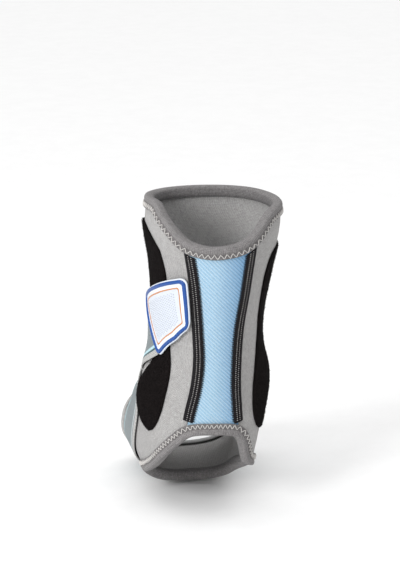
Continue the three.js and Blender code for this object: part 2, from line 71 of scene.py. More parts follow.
# Sections of the form, as shares of its length, height and width
# front y, front z, back y, back z, half width, narrowing, front power, back power, shift
SECTIONS = np.array([
    (0.275, 1.0, -0.325, 0.975, 0.47, 0.05, 2.2, 2.0, 0.05),
    (0.269, 0.862, -0.312, 0.833, 0.553, 0.07, 2.2, 2.0, 0.038),
    (0.256, 0.725, -0.288, 0.688, 0.486, 0.1, 2.2, 2.0, 0.026),
    (0.244, 0.604, -0.262, 0.55, 0.438, 0.13, 2.2, 2.0, 0.004),
    (0.244, 0.504, -0.244, 0.421, 0.428, 0.13, 2.2, 2.0, -0.005),
    (0.262, 0.429, -0.256, 0.3, 0.456, 0.1, 2.2, 2.1, -0.025),
    (0.3, 0.375, -0.294, 0.183, 0.47, 0.05, 2.2, 2.1, -0.049),
    (0.35, 0.333, -0.288, 0.058, 0.454, 0.02, 2.2, 2.2, -0.09),
    (0.406, 0.304, -0.15, 0.004, 0.447, 0.0, 2.2, 2.45, -0.116),
    (0.475, 0.275, 0.088, 0.0, 0.456, 0.0, 2.2, 2.5, -0.1),
    (0.55, 0.242, 0.35, 0.0, 0.484, -0.02, 2.2, 2.5, -0.046),
    (0.631, 0.212, 0.575, 0.0, 0.512, -0.05, 2.2, 2.5, 0.0),
    (0.712, 0.192, 0.75, 0.0, 0.55, -0.08, 2.2, 2.5, 0.012),
])
# The two side bulges: station, angle, height as a share of the width, reach in stations and degrees
BULGES = [
    (5.6, -85.0, 0.088, 0.9, 28.0),
    (5.1, 92.0, 0.075, 1.0, 28.0),
]
# Height of the top edge as a share of the form's height, by angle
TOP_EDGE = np.array([
    (-180, 0.893), (-140, 0.895), (-110, 0.9), (-92, 0.905), (-77, 0.904), (-65, 0.88), (-53, 0.851),
    (-38, 0.815), (-25, 0.802), (-11, 0.798), (5, 0.803), (15, 0.811), (23, 0.824), (30, 0.843),
    (38, 0.866), (46, 0.882), (60, 0.89), (80, 0.887), (110, 0.887), (140, 0.89), (180, 0.893),
])
TOE_REACH_TOP = 0.588
TOE_REACH_SOLE = 0.65

# Middle lines of the seams: station, angle
LATERAL_SEAM = np.array([
    (1.1, -37), (1.9, -33.5), (2.4, -31.2), (3.1, -28.3), (3.75, -26.3), (4.5, -27.5), (5.3, -32),
    (5.76, -33.4),
])
MEDIAL_SEAM = np.array([
    (1.1, 23.7), (2.3, 23.3), (3.1, 21.6), (3.75, 21.2), (4.5, 21.3), (5.3, 23.4), (5.76, 24.2),
])

# The heel opening's edge, from the middle of its top over the seams' ends to the middle of its
# front: row, angle on the inner side, angle on the outer side
OPENING_EDGE = np.array([
    (5.53, -4, -4), (5.555, 8, -16), (5.63, 18, -26), (5.76, 24.2, -33.4), (5.96, 28.5, -39.5),
    (6.2, 32, -46), (6.45, 37, -51.8), (6.7, 46, -56.8), (7.0, 55, -60.6), (7.4, 60.5, -62.6),
    (7.9, 61, -62.4), (8.4, 57, -60), (8.85, 48, -52.5), (9.2, 34.5, -40.5), (9.42, 18.5, -22), (9.5, 0, 0),
])
OPENING_CORNER = 3
OPENING_END = len(OPENING_EDGE) - 1
CORNER_ROW = OPENING_EDGE[OPENING_CORNER, 0]

# Outlines of the pads: station, back angle, front angle
LATERAL_PAD = np.array([
    (1.1, -95, -109), (1.13, -90, -115), (1.2, -82, -118), (1.32, -75, -118.5), (1.47, -68.5, -118),
    (1.84, -65.5, -116), (2.14, -64.5, -113), (2.8, -63.8, -108), (3.4, -63.2, -102), (3.8, -62, -95),
    (4.15, -59.5, -88), (4.5, -58.2, -89), (4.9, -58, -94), (5.4, -58.7, -97), (5.8, -61.5, -94),
    (6.1, -66, -88), (6.26, -71, -82),
])
MEDIAL_PAD = np.array([
    (1.5, 64, 86), (1.55, 57.5, 97), (1.64, 54, 105), (1.8, 51.8, 111), (2.06, 50.2, 117), (2.5, 51.5, 123),
    (2.95, 54.5, 126), (3.4, 57, 127), (3.9, 55.5, 124), (4.34, 51.5, 119), (4.71, 46.8, 113),
    (5.15, 45, 107), (5.5, 46.2, 100), (5.8, 50, 92), (6.02, 57, 84), (6.12, 64, 78),
])
# Middle lines of the straps: station, angle
LATERAL_STRAP = np.array([
    (2.42, -21), (2.56, -36), (2.68, -48), (2.88, -62.5), (3.26, -84), (3.85, -106), (4.7, -133),
    (5.7, -160), (6.65, -185), (7.6, -212), (8.4, -240), (9.15, -268), (9.8, -292), (10.2, -314),
    (10.35, -336),
])
MEDIAL_STRAP = np.array([
    (2.72, 95), (3.02, 113), (3.48, 132), (4.15, 149), (4.85, 165), (5.55, 182), (6.4, 206),
    (7.4, 230), (8.5, 253), (9.45, 273), (10.0, 290), (10.25, 308), (10.3, 328),
])

DEGREES = math.pi / 180


def mix(a, b, share):
    return a + (b - a) * share


def smooth(share):
    x = np.clip(share, 0, 1)
    return x * x * (3 - 2 * x)


# The form's surface


def along_table(table, place):
    """A smooth curve through the rows of a table, at places counted in rows."""
    last = len(table) - 1
    x = np.clip(np.asarray(place, float), 0, last - 1e-9)
    i = np.floor(x).astype(int)
    f = (x - i)[..., None]
    p1 = table[i]
    p2 = table[i + 1]
    p0 = np.where((i > 0)[..., None], table[np.maximum(i - 1, 0)], 2 * p1 - p2)
    p3 = np.where((i < last - 1)[..., None], table[np.minimum(i + 2, last)], 2 * p2 - p1)
    bend = 2 * p0 - 5 * p1 + 4 * p2 - p3 + f * (3 * (p1 - p2) + p3 - p0)
    return p1 + 0.5 * f * (p2 - p0 + f * bend)


def at_value(table, value):
    """The columns of a table where its first column has a value."""
    value = np.asarray(value, float)
    i = np.clip(np.searchsorted(table[:, 0], value, side="left") - 1, 0, len(table) - 2)
    f = (value - table[i, 0]) / (table[i + 1, 0] - table[i, 0])
    return along_table(table, i + np.clip(f, 0, 1))


def wrapped(angle):
    return (angle + 180) % 360 - 180


def on_form(station, angle):
    """Points of the form. Angle 0 is the middle of the back and of the sole, 90 the inner side."""
    station, angle = np.broadcast_arrays(np.asarray(station, float), np.asarray(angle, float))
    row = along_table(SECTIONS, station)
    fy, fz, by, bz, half, narrowing, front_power, back_power, shift = np.moveaxis(row, -1, 0)
    c = np.cos(angle * DEGREES)
    s = np.sin(angle * DEGREES)
    power = mix(front_power, back_power, (1 + c) / 2)
    r = (np.abs(s) ** power + np.abs(c) ** power) ** (-1 / power)
    along = c * r
    x = half * s * r * (1 - narrowing * along) + shift
    for bulge_station, bulge_angle, height, reach, spread in BULGES:
        turn = wrapped(angle - bulge_angle)
        fall = ((station - bulge_station) / reach) ** 2 + (turn / spread) ** 2
        x = x + np.sign(bulge_angle) * height * np.exp(-fall)
    y = mix(fy, by, (1 + along) / 2)
    z = mix(fz, bz, (1 + along) / 2)
    return np.stack([x * FORM_WIDTH, y * FORM_LENGTH, z * FORM_HEIGHT - ANKLE_HEIGHT], -1)


def unit(v):
    return v / np.maximum(np.linalg.norm(v, axis=-1, keepdims=True), 1e-12)


def tangents(station, angle):
    ds = 1e-3
    da = 1e-2
    along = (on_form(station + ds, angle) - on_form(station - ds, angle)) / (2 * ds)
    around = (on_form(station, angle + da) - on_form(station, angle - da)) / (2 * da)
    return along, around


def outward(station, angle):
    along, around = tangents(station, angle)
    return unit(np.cross(along, around))


def raised(station, angle, height):
    return on_form(station, angle) + outward(station, angle) * np.asarray(height, float)[..., None]


def walk(station, angle, direction, length):
    """Moves places over the surface in the straightest line."""
    shape = np.broadcast_shapes(np.shape(station), np.shape(angle), np.shape(length))
    station = np.broadcast_to(station, shape).astype(float)
    angle = np.broadcast_to(angle, shape).astype(float)
    heading = np.broadcast_to(direction, shape + (3,)).astype(float)
    steps = max(1, math.ceil(float(np.abs(length).max()) / 2))
    part = np.broadcast_to(length, shape) / steps
    for _ in range(steps):
        along, around = tangents(station, angle)
        aa = (along * along).sum(-1)
        ar = (along * around).sum(-1)
        rr = (around * around).sum(-1)
        size = aa * rr - ar * ar
        da = (heading * along).sum(-1)
        dr = (heading * around).sum(-1)
        station = station + (da * rr - dr * ar) / size * part
        angle = angle + (dr * aa - da * ar) / size * part
        normal = outward(station, angle)
        heading = unit(heading - normal * (heading * normal).sum(-1, keepdims=True))
    return station, angle


# The brace's own rows, from its top edge to its toe edge

TOP_ROW = 0.4
TOP_FADE = 3.2
TOE_FADE = 9.6
TOE_ROW = 11.0
RING = np.linspace(-180, 180, 721)


def station_where(axis, target, low, high, rising):
    """The station round the ring of angles at which a coordinate reaches a target."""
    low = np.full_like(RING, low)
    high = np.full_like(RING, high)
    for _ in range(40):
        middle = (low + high) / 2
        below = (on_form(middle, RING)[..., axis] < target) == rising
        low = np.where(below, middle, low)
        high = np.where(below, high, middle)
    return (low + high) / 2


TOP_HEIGHT = at_value(TOP_EDGE, RING)[..., 1] * FORM_HEIGHT - ANKLE_HEIGHT
TOP_STATION = station_where(2, TOP_HEIGHT, 0.0, 3.0, False)
TOE_REACH = mix(TOE_REACH_TOP, TOE_REACH_SOLE, (1 + np.cos(RING * DEGREES)) / 2) * FORM_LENGTH
TOE_STATION = station_where(1, TOE_REACH, 9.6, 12.0, True)


def on_brace(row, angle):
    """The form's station and angle at a row of the brace."""
    row, angle = np.broadcast_arrays(np.asarray(row, float), np.asarray(angle, float))
    top = np.interp(wrapped(angle), RING, TOP_STATION) - TOP_ROW
    toe = np.interp(wrapped(angle), RING, TOE_STATION) - TOE_ROW
    from_top = 1 - smooth((row - TOP_ROW) / (TOP_FADE - TOP_ROW))
    to_toe = smooth((row - TOE_FADE) / (TOE_ROW - TOE_FADE))
    return row + top * from_top + toe * to_toe, angle


def seam_angle(table, row):
    angle = at_value(table, row)[..., 1]
    for _ in range(6):
        angle = at_value(table, on_brace(row, angle)[0])[..., 1]
    return angle


UPPER_OPENING = along_table(OPENING_EDGE, np.linspace(0, OPENING_CORNER, 200))


def opening_row(angle):
    """The row of the opening's edge at angles above the seams' ends."""
    row, medial, lateral = UPPER_OPENING.T
    return np.where(angle < medial[0], np.interp(-angle, -lateral, row), np.interp(angle, medial, row))


def seam_edges(row):
    """The angles of the sleeve's two edges along the seams: inner side, outer side."""
    return seam_angle(MEDIAL_SEAM, row), seam_angle(LATERAL_SEAM, row)


# Meshes


def make_object(name, points, faces, uvs=None, uv_faces=None):
    """A mesh from points in millimetres. faces holds arrays of corners, one row for each face."""
    used = np.unique(np.concatenate([np.ravel(face) for face in faces]))
    place = np.full(len(points), -1)
    place[used] = np.arange(len(used))
    lists = []
    for face in faces:
        lists.extend(place[face].tolist())
    mesh = bpy.data.meshes.new(name)
    mesh.from_pydata((np.asarray(points)[used] * 0.001).tolist(), [], lists)
    if uvs is not None:
        layer = mesh.uv_layers.new(name="UVMap")
        corners = np.concatenate([np.ravel(face) for face in (uv_faces or faces)])
        layer.data.foreach_set("uv", np.asarray(uvs, float)[corners].astype(np.float32).ravel())
    mesh.polygons.foreach_set("use_smooth", [True] * len(mesh.polygons))
    mesh.update()
    obj = bpy.data.objects.new(name, mesh)
    bpy.context.scene.collection.objects.link(obj)
    return obj


def grid_lengths(points):
    """Lengths over a grid from its first column and row, across and down."""
    down = np.linalg.norm(np.diff(points, axis=0), axis=-1)
    across = np.linalg.norm(np.diff(points, axis=1), axis=-1)
    v = np.concatenate([np.zeros((1, points.shape[1])), np.cumsum(down, 0)], 0)
    u = np.concatenate([np.zeros((points.shape[0], 1)), np.cumsum(across, 1)], 1)
    return u, v


def sheet_mesh(name, low, high, u, v, closed_from=None):
    """A closed sheet between two grids of points. Rows from closed_from on close on themselves."""
    rows, columns = low.shape[:2]
    count = rows * columns
    points = np.concatenate([high.reshape(-1, 3), low.reshape(-1, 3)])
    uvs = np.concatenate([np.stack([u.ravel(), v.ravel()], -1)] * 2)
    corners = np.arange(count).reshape(rows, columns)
    merged = corners.copy()
    limit = rows - 1
    if closed_from is not None:
        merged[closed_from:, -1] = merged[closed_from:, 0]
        limit = closed_from

    def faces_of(index):
        a = index[:-1, :-1].ravel()
        b = index[:-1, 1:].ravel()
        c = index[1:, 1:].ravel()
        d = index[1:, :-1].ravel()
        first = index[: limit + 1, 0]
        last = index[: limit + 1, -1]
        top = index[0]
        end = index[-1]
        return [
            np.stack([a, d, c, b], -1),
            np.stack([a, b, c, d], -1) + count,
            np.stack([first[:-1], first[:-1] + count, first[1:] + count, first[1:]], -1),
            np.stack([last[:-1] + count, last[:-1], last[1:], last[1:] + count], -1),
            np.stack([top[:-1] + count, top[:-1], top[1:], top[1:] + count], -1),
            np.stack([end[:-1], end[:-1] + count, end[1:] + count, end[1:]], -1),
        ]

    return make_object(name, points, faces_of(merged), uvs, faces_of(corners))


def shell_mesh(name, rings, u, v):
    """A closed profile carried round a closed loop, shape (rings, profile points, 3)."""
    count, sides = rings.shape[:2]
    here = np.arange(count * sides).reshape(count, sides)
    following = np.roll(here, -1, axis=0)
    faces = np.stack([here, np.roll(here, -1, 1), np.roll(following, -1, 1), following], -1).reshape(-1, 4)
    flat = rings.reshape(-1, 3)
    a, b, c = flat[faces[:, 0]], flat[faces[:, 1]], flat[faces[:, 2]]
    if (a * np.cross(b, c)).sum() < 0:
        faces = faces[:, ::-1]
    return make_object(name, flat, [faces], np.stack([np.ravel(u), np.ravel(v)], -1))


def thread_mesh(name, lines, ups, radius, sides=6, closed=False):
    """Many threads as one mesh. lines has the shape (threads, points, 3)."""
    lines = np.asarray(lines, float)
    count, length = lines.shape[:2]
    if closed:
        run = unit(np.roll(lines, -1, 1) - np.roll(lines, 1, 1))
    else:
        run = unit(np.gradient(lines, axis=1))
    a = unit(np.cross(np.cross(run, np.broadcast_to(ups, lines.shape)), run))
    b = np.cross(run, a)
    size = np.full(length, float(radius))
    if not closed:
        size[[0, -1]] *= 0.5
    turn = np.arange(sides) * 2 * math.pi / sides
    ring = a[:, :, None] * np.cos(turn)[:, None] + b[:, :, None] * np.sin(turn)[:, None]
    points = lines[:, :, None] + ring * size[:, None, None]
    index = np.arange(count * length * sides).reshape(count, length, sides)
    steps = length if closed else length - 1
    here = index[:, :steps]
    following = np.roll(index, -1, 1)[:, :steps]
    faces = [np.stack([here, np.roll(here, -1, 2), np.roll(following, -1, 2), following], -1).reshape(-1, 4)]
    if not closed:
        faces += [index[:, 0, ::-1], index[:, -1]]
    return make_object(name, points.reshape(-1, 3), faces)


# Materials


def srgb(red, green, blue):
    def linear(value):
        x = value / 255
        return x / 12.92 if x <= 0.04045 else ((x + 0.055) / 1.055) ** 2.4

    return (linear(red), linear(green), linear(blue), 1)


class Shader:
    """A small helper that builds one material's node tree."""

    def __init__(self, name, roughness=0.9, sheen=0.0, specular=0.3, coat=0.0):
        self.material = bpy.data.materials.new(name)
        self.material.use_nodes = True
        self.nodes = self.material.node_tree.nodes
        self.links = self.material.node_tree.links
        self.surface = self.nodes["Principled BSDF"]
        self.surface.inputs["Roughness"].default_value = roughness
        self.surface.inputs["Sheen Weight"].default_value = sheen
        self.surface.inputs["Sheen Roughness"].default_value = 0.5
        self.surface.inputs["Specular IOR Level"].default_value = specular
        self.surface.inputs["Coat Weight"].default_value = coat

    def node(self, kind, **values):
        node = self.nodes.new(kind)
        for key, value in values.items():
            setattr(node, key, value)
        return node

    def uv(self):
        node = self.node("ShaderNodeSeparateXYZ")
        self.links.new(self.node("ShaderNodeTexCoord").outputs["UV"], node.inputs[0])
        return node.outputs[0], node.outputs[1]

    def math(self, kind, a, b=0.0):
        node = self.node("ShaderNodeMath", operation=kind)
        for socket, value in zip(node.inputs, (a, b)):
            if isinstance(value, (int, float)):
                socket.default_value = value
            else:
                self.links.new(value, socket)
        return node.outputs[0]

    def weighted(self, *pairs):
        """A sum of values with weights."""
        total = 0.0
        for value, weight in pairs:
            total = self.math("ADD", total, self.math("MULTIPLY", value, weight))
        return total

    def noise(self, scale, detail=2.0, roughness=0.5):
        """Noise with so many features in a metre."""
        node = self.node("ShaderNodeTexNoise")
        self.links.new(self.node("ShaderNodeTexCoord").outputs["Object"], node.inputs["Vector"])
        node.inputs["Scale"].default_value = scale
        node.inputs["Detail"].default_value = detail
        node.inputs["Roughness"].default_value = roughness
        return node.outputs["Fac"]

    def wave(self, value, period):
        """A cosine wave from 0 to 1 with a length in millimetres."""
        cosine = self.math("COSINE", self.math("MULTIPLY", value, 2 * math.pi / period))
        return self.math("ADD", self.math("MULTIPLY", cosine, 0.5), 0.5)

    def ramp(self, value, stops, kind="LINEAR"):
        node = self.node("ShaderNodeValToRGB")
        node.color_ramp.interpolation = kind
        elements = node.color_ramp.elements
        elements.remove(elements[-1])
        elements[0].position, elements[0].color = stops[0]
        for position, colour in stops[1:]:
            elements.new(position).color = colour
        self.links.new(value, node.inputs[0])
        return node.outputs[0]

    def times(self, a, b):
        """The product of two colours."""
        node = self.node("ShaderNodeMix", data_type="RGBA", blend_type="MULTIPLY")
        node.inputs[0].default_value = 1.0
        self.links.new(a, node.inputs[6])
        self.links.new(b, node.inputs[7])
        return node.outputs[2]

    def finish(self, colour, height, depth):
        """Sets the colour and a bump of a depth in metres."""
        bump = self.node("ShaderNodeBump")
        bump.inputs["Strength"].default_value = 0.8
        bump.inputs["Distance"].default_value = depth
        self.links.new(colour, self.surface.inputs["Base Color"])
        self.links.new(height, bump.inputs["Height"])
        self.links.new(bump.outputs[0], self.surface.inputs["Normal"])
        return self.material


def knit(name, dark, light, course, wale, painted_light=None):
    """A melange knit with courses and wales in millimetres of the UV map, and painted shade and highlight across
    it where a ramp of painted light is given.
    """
    m = Shader(name, roughness=0.95, sheen=0.1, specular=0.1)
    u, v = m.uv()
    flecks = m.noise(1500, 3.0, 0.75)
    patches = m.noise(420, 2.0, 0.6)
    loops = m.math("MULTIPLY", m.wave(v, course), m.wave(u, wale))
    tone = m.weighted((flecks, 0.75), (patches, 0.18), (loops, 0.2))
    relief = m.weighted((loops, 1.0), (flecks, 0.6))
    colour = m.ramp(tone, [(0.38, dark), (0.72, light)])
    # Painted shade and highlight, multiplied in by the length round the tape's section
    if painted_light:
        colour = m.times(colour, m.ramp(m.math("DIVIDE", u, PAINTED_LIGHT_SPAN), painted_light))
    return m.finish(colour, relief, 0.00025)


def grained(name, dark, light, scale, depth, **finish):
    """A plain material with a fine grain of so many features in a metre."""
    m = Shader(name, **finish)
    grain = m.noise(scale, 3.0, 0.65)
    return m.finish(m.ramp(grain, [(0.35, dark), (0.65, light)]), grain, depth)


RIB_PITCH = 1.9
RIB_ANGLE = 48 * DEGREES
PANEL_MIDDLE = -2.0
PANEL_WIDTH = 46.0


def panel_knit():
    """Ribs that run down to the right, with painted shade that darkens them towards the inner side. The UV map
    holds x and z.
    """
    m = Shader("ribbed_knit", roughness=0.9, sheen=0.1, specular=0.15)
    x, z = m.uv()
    ribs = m.wave(m.weighted((x, math.sin(RIB_ANGLE)), (z, math.cos(RIB_ANGLE))), RIB_PITCH)
    flecks = m.noise(1500, 2.0, 0.6)
    tone = m.weighted((ribs, 0.3), (flecks, 0.7))
    blues = [(0.25, srgb(135, 171, 198)), (0.5, srgb(158, 188, 208)), (0.75, srgb(179, 202, 218))]
    colour = m.ramp(tone, blues)
    # Painted shade: the panel turns darker and bluer towards the inner side, which faces away from the light
    side = m.math("DIVIDE", m.math("SUBTRACT", x, PANEL_MIDDLE), PANEL_WIDTH)
    shade = m.ramp(m.math("ADD", side, 0.5), [(0.45, (1, 1, 1, 1)), (0.95, (0.42, 0.62, 0.84, 1))])
    return m.finish(m.times(colour, shade), m.weighted((ribs, 1.0), (flecks, 0.35)), 0.0002)


# Stripes across a strap: where each starts, in millimetres from its toe side, and its colour
STRAP_STRIPES = [
    (0.0, srgb(186, 186, 184)),
    (4.0, srgb(62, 92, 100)),
    (5.5, srgb(190, 226, 234)),
    (7.5, srgb(126, 136, 139)),
    (35.5, srgb(214, 222, 223)),
    (36.8, srgb(126, 136, 139)),
    (39.0, srgb(186, 186, 184)),
]


def webbing():
    """Woven elastic with stripes along it."""
    m = Shader("woven_elastic", roughness=0.85, sheen=0.2, specular=0.25)
    u, v = m.uv()
    stops = [(start / STRAP_WIDTH, colour) for start, colour in STRAP_STRIPES]
    stripes = m.ramp(m.math("DIVIDE", u, STRAP_WIDTH), stops, "CONSTANT")
    weave = m.math("MULTIPLY", m.wave(u, 1.3), m.wave(v, 1.5))
    flecks = m.noise(1200, 2.0, 0.6)
    # Painted shade in the hollows of the weave, mixed with random flecks of tone
    shade = m.ramp(m.weighted((weave, 0.6), (flecks, 0.5)), [(0.1, (0.6, 0.6, 0.6, 1)), (0.6, (1, 1, 1, 1))])
    return m.finish(m.times(stripes, shade), m.weighted((weave, 1.0), (flecks, 0.3)), 0.0003)


# Rings of a grip: inset in millimetres at which each starts, and its colour
GRIP_RINGS = [
    # Painted highlight: the white line round the outer edge of the raised blue rim
    (0.0, srgb(222, 228, 236)),
    (0.75, srgb(6, 70, 146)),
    (3.4, srgb(226, 231, 238)),
    (5.8, srgb(196, 132, 84)),
    (6.8, srgb(206, 212, 222)),
    (14.0, srgb(174, 180, 190)),
]
GRIP_SPAN = 20.0


def moulded():
    """Moulded plastic whose rings follow the inset that the UV map holds."""
    m = Shader("moulded_grip", roughness=0.42, specular=0.45, coat=0.1)
    inset, _ = m.uv()
    stops = [(start / GRIP_SPAN, colour) for start, colour in GRIP_RINGS]
    rings = m.ramp(m.math("DIVIDE", inset, GRIP_SPAN), stops, "CONSTANT")
    scuffs = m.noise(900, 4.0, 0.6)
    shade = m.ramp(scuffs, [(0.3, (0.93, 0.93, 0.93, 1)), (0.6, (1, 1, 1, 1))])
    return m.finish(m.times(rings, shade), scuffs, 0.00006)


# Painted shade and highlight over a folded tape, by the length round its section: painted shade over the outer
# fold, deepest in its crease, and a painted highlight on the rim
PAINTED_LIGHT_SPAN = 24.0
TAPE_PAINTED_LIGHT = [
    (0.0, (0.8, 0.8, 0.8, 1)),
    (4.3 / PAINTED_LIGHT_SPAN, (0.66, 0.65, 0.65, 1)),
    (5.0 / PAINTED_LIGHT_SPAN, (1, 1, 1, 1)),
    (11.0 / PAINTED_LIGHT_SPAN, (0.9, 0.9, 0.9, 1)),
]

KNIT = knit("melange_knit", srgb(140, 138, 137), srgb(194, 193, 192), 1.1, 1.4)
BINDING_KNIT = knit("binding_knit", srgb(99, 97, 97), srgb(160, 157, 157), 1.1, 1.1, TAPE_PAINTED_LIGHT)
HEM_KNIT = knit("hem_knit", srgb(140, 141, 141), srgb(192, 193, 193), 1.1, 1.1)
PANEL_KNIT = panel_knit()
WEBBING = webbing()
MOULDED = moulded()
SEAM_BLACK = grained("seam_black", srgb(10, 9, 11), srgb(34, 32, 35), 1600, 0.0003, sheen=0.05, specular=0.15)
PILE = grained("loop_pile", srgb(4, 3, 3), srgb(33, 29, 29), 1500, 0.0008, roughness=1.0, specular=0.05)
BLACK_THREAD = grained("black_thread", srgb(12, 11, 13), srgb(34, 32, 35), 3000, 0.0001, roughness=0.8)
LIGHT_THREAD = grained("light_thread", srgb(176, 173, 170), srgb(214, 211, 208), 3000, 0.0001, roughness=0.8)
FLOOR_WHITE = grained("floor_white", (0.93, 0.93, 0.93, 1), (0.95, 0.95, 0.95, 1), 40, 0.0001)


def wear(obj, material, slot, *nodes):
    """Gives a piece its material and its body, and hides the nodes that it stands for. The slot is not used."""
    obj.data.materials.append(material)
    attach(obj, "root")
    if nodes:
        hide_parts(*nodes)
    return obj


# Camera, floor and light


def add_camera(azimuth, elevation, distance, target, lens):
    a = math.radians(azimuth)
    e = math.radians(elevation)
    back = Vector((math.sin(a) * math.cos(e), -math.cos(a) * math.cos(e), math.sin(e)))
    data = bpy.data.cameras.new("camera")
    data.sensor_fit = "VERTICAL"
    data.sensor_height = 36.0
    data.lens = lens
    data.clip_end = 20.0
    camera = bpy.data.objects.new("camera", data)
    camera.location = Vector(target) + back * distance
    camera.rotation_euler = (-back).to_track_quat("-Z", "Y").to_euler()
    bpy.context.scene.collection.objects.link(camera)
    bpy.context.scene.camera = camera


def add_light(name, location, size, power):
    data = bpy.data.lights.new(name, "AREA")
    data.shape = "DISK"
    data.size = size
    data.energy = power
    light = bpy.data.objects.new(name, data)
    light.location = location
    light.rotation_euler = (Vector((0, 0, 0.04)) - Vector(location)).to_track_quat("-Z", "Y").to_euler()
    bpy.context.scene.collection.objects.link(light)


def add_sun(strength, spread):
    """An even, soft light straight from above."""
    data = bpy.data.lights.new("sun", "SUN")
    data.energy = strength
    data.angle = spread
    bpy.context.scene.collection.objects.link(bpy.data.objects.new("sun", data))


def add_floor(reach, height):
    mesh = bpy.data.meshes.new("floor")
    corners = [(x * reach, y * reach, height) for x, y in ((-1, -1), (1, -1), (1, 1), (-1, 1))]
    mesh.from_pydata(corners, [], [(0, 1, 2, 3)])
    mesh.materials.append(FLOOR_WHITE)
    floor = bpy.data.objects.new("floor", mesh)
    bpy.context.scene.collection.objects.link(floor)


def add_studio():
    """A white studio: a plain floor, an even sky, light from above and a soft lamp on the left."""
    add_camera(-12.0, 15.0, 1.6, (-0.006, 0.0, 0.0705), 139.3)
    add_light("key", (-1.3, -1.0, 0.8), 0.7, 20)
    add_sun(2.0, math.radians(100))
    add_floor(6.0, -0.0865)
    world = bpy.data.worlds.new("world")
    world.use_nodes = True
    sky = world.node_tree.nodes["Background"]
    sky.inputs[0].default_value = (1, 1, 1, 1)
    sky.inputs[1].default_value = 0.36
    bpy.context.scene.world = world
    bpy.context.scene.view_settings.view_transform = "Standard"


def soft_waves(points, size, depth):
    """Slow waves, because cloth isn't as even as the form."""
    x, y, z = np.moveaxis(points / size, -1, 0)
    wide = np.sin(1.3 * x + 0.9 * z + 0.4) * np.sin(1.1 * y - 0.7 * z + 1.1)
    fine = np.sin(2.1 * z + 0.8 * x) * np.sin(2.3 * y + 0.7)
    return depth * (wide + 0.6 * fine) / 1.6


# Sleeve and back panel

JOINT_HALF_ANGLE = math.degrees(JOINT_GAP / FORM_WIDTH)


def sleeve():
    upper = np.linspace(TOP_ROW, CORNER_ROW, 72)
    beside = along_table(OPENING_EDGE, np.linspace(OPENING_CORNER, OPENING_END, 90)[1:])
    toes = np.linspace(OPENING_EDGE[-1, 0], TOE_ROW, 24)[1:]
    rows = np.concatenate([upper, beside[:, 0], toes])
    closed_from = len(upper) + len(beside) - 1
    medial, lateral = seam_edges(upper)
    closed = np.zeros(len(toes))
    medial = np.concatenate([medial + JOINT_HALF_ANGLE, beside[:, 1], closed])
    lateral = np.concatenate([lateral - JOINT_HALF_ANGLE, beside[:, 2], closed])
    angle = mix(medial[:, None], 360 + lateral[:, None], np.linspace(0, 1, 230))
    station, angle = on_brace(rows[:, None], angle)
    inner = on_form(station, angle)
    outer = inner + outward(station, angle) * (WALL + soft_waves(inner, 9.0, 0.16))[..., None]
    u, v = grid_lengths(outer)
    return wear(sheet_mesh("sleeve", inner, outer, u, v, closed_from), KNIT, "knit", "body")


def back_panel():
    rows = np.linspace(TOP_ROW, CORNER_ROW, 290)
    share = np.linspace(0, 1, 100)
    medial, lateral = seam_edges(rows)
    angle = mix((lateral + JOINT_HALF_ANGLE)[:, None], (medial - JOINT_HALF_ANGLE)[:, None], share)
    bottom = opening_row(mix(lateral[-1], medial[-1], share))
    own = TOP_ROW + (rows[:, None] - TOP_ROW) * (bottom - TOP_ROW) / (CORNER_ROW - TOP_ROW)
    station, angle = on_brace(own, angle)
    inner = on_form(station, angle)
    x = inner[..., 0]
    z = inner[..., 2]
    across = x * math.sin(RIB_ANGLE) + z * math.cos(RIB_ANGLE)
    ribs = 0.5 + 0.5 * np.cos(2 * math.pi * across / RIB_PITCH)
    outer = inner + outward(station, angle) * (WALL - 0.1 + 0.25 * ribs)[..., None]
    return wear(sheet_mesh("back_panel", inner, outer, x, z), PANEL_KNIT, "panel", "achilles_panel")


# Flatlock seams


STITCH_PITCH = 1.5


class SeamLine:
    """A seam's middle line, measured in millimetres, and where its band starts and ends."""

    def __init__(self, table):
        self.table = table
        self.rows = np.linspace(TOP_ROW, CORNER_ROW, 1500)
        station, angle = on_brace(self.rows, seam_angle(table, self.rows))
        points = on_form(station, angle)
        self.length = np.concatenate([[0], np.cumsum(np.linalg.norm(np.diff(points, axis=0), axis=-1))])
        top = on_form(*on_brace(TOP_ROW, angle[0] + 4)) - on_form(*on_brace(TOP_ROW, angle[0] - 4))
        apart = points - points[0]
        apart = np.linalg.norm(apart - unit(top) * (apart * unit(top)).sum(-1, keepdims=True), axis=-1)
        self.first = np.interp(BINDING_WIDTH + 0.45, apart[:400], self.length[:400])
        to_corner = np.linalg.norm(points - points[-1], axis=-1)
        self.last = self.length[np.nonzero(to_corner > BINDING_WIDTH + 3.85)[0][-1]]

    def beside(self, at, across):
        """Places at lengths along the seam and distances across it."""
        row = np.interp(at, self.length, self.rows)
        angle = seam_angle(self.table, row)
        station, _ = on_brace(row, angle)
        per_degree = np.linalg.norm(tangents(station, angle)[1], axis=-1)
        return on_brace(row, angle + across / per_degree)

    def threads(self, name, at, across, height, radius, material):
        """Short threads beside the seam, one for each row of lengths."""
        station, angle = self.beside(at, across)
        lines = raised(station, angle, np.broadcast_to(height, station.shape))
        return wear(thread_mesh(name, lines, outward(station, angle), radius), material, "seam")


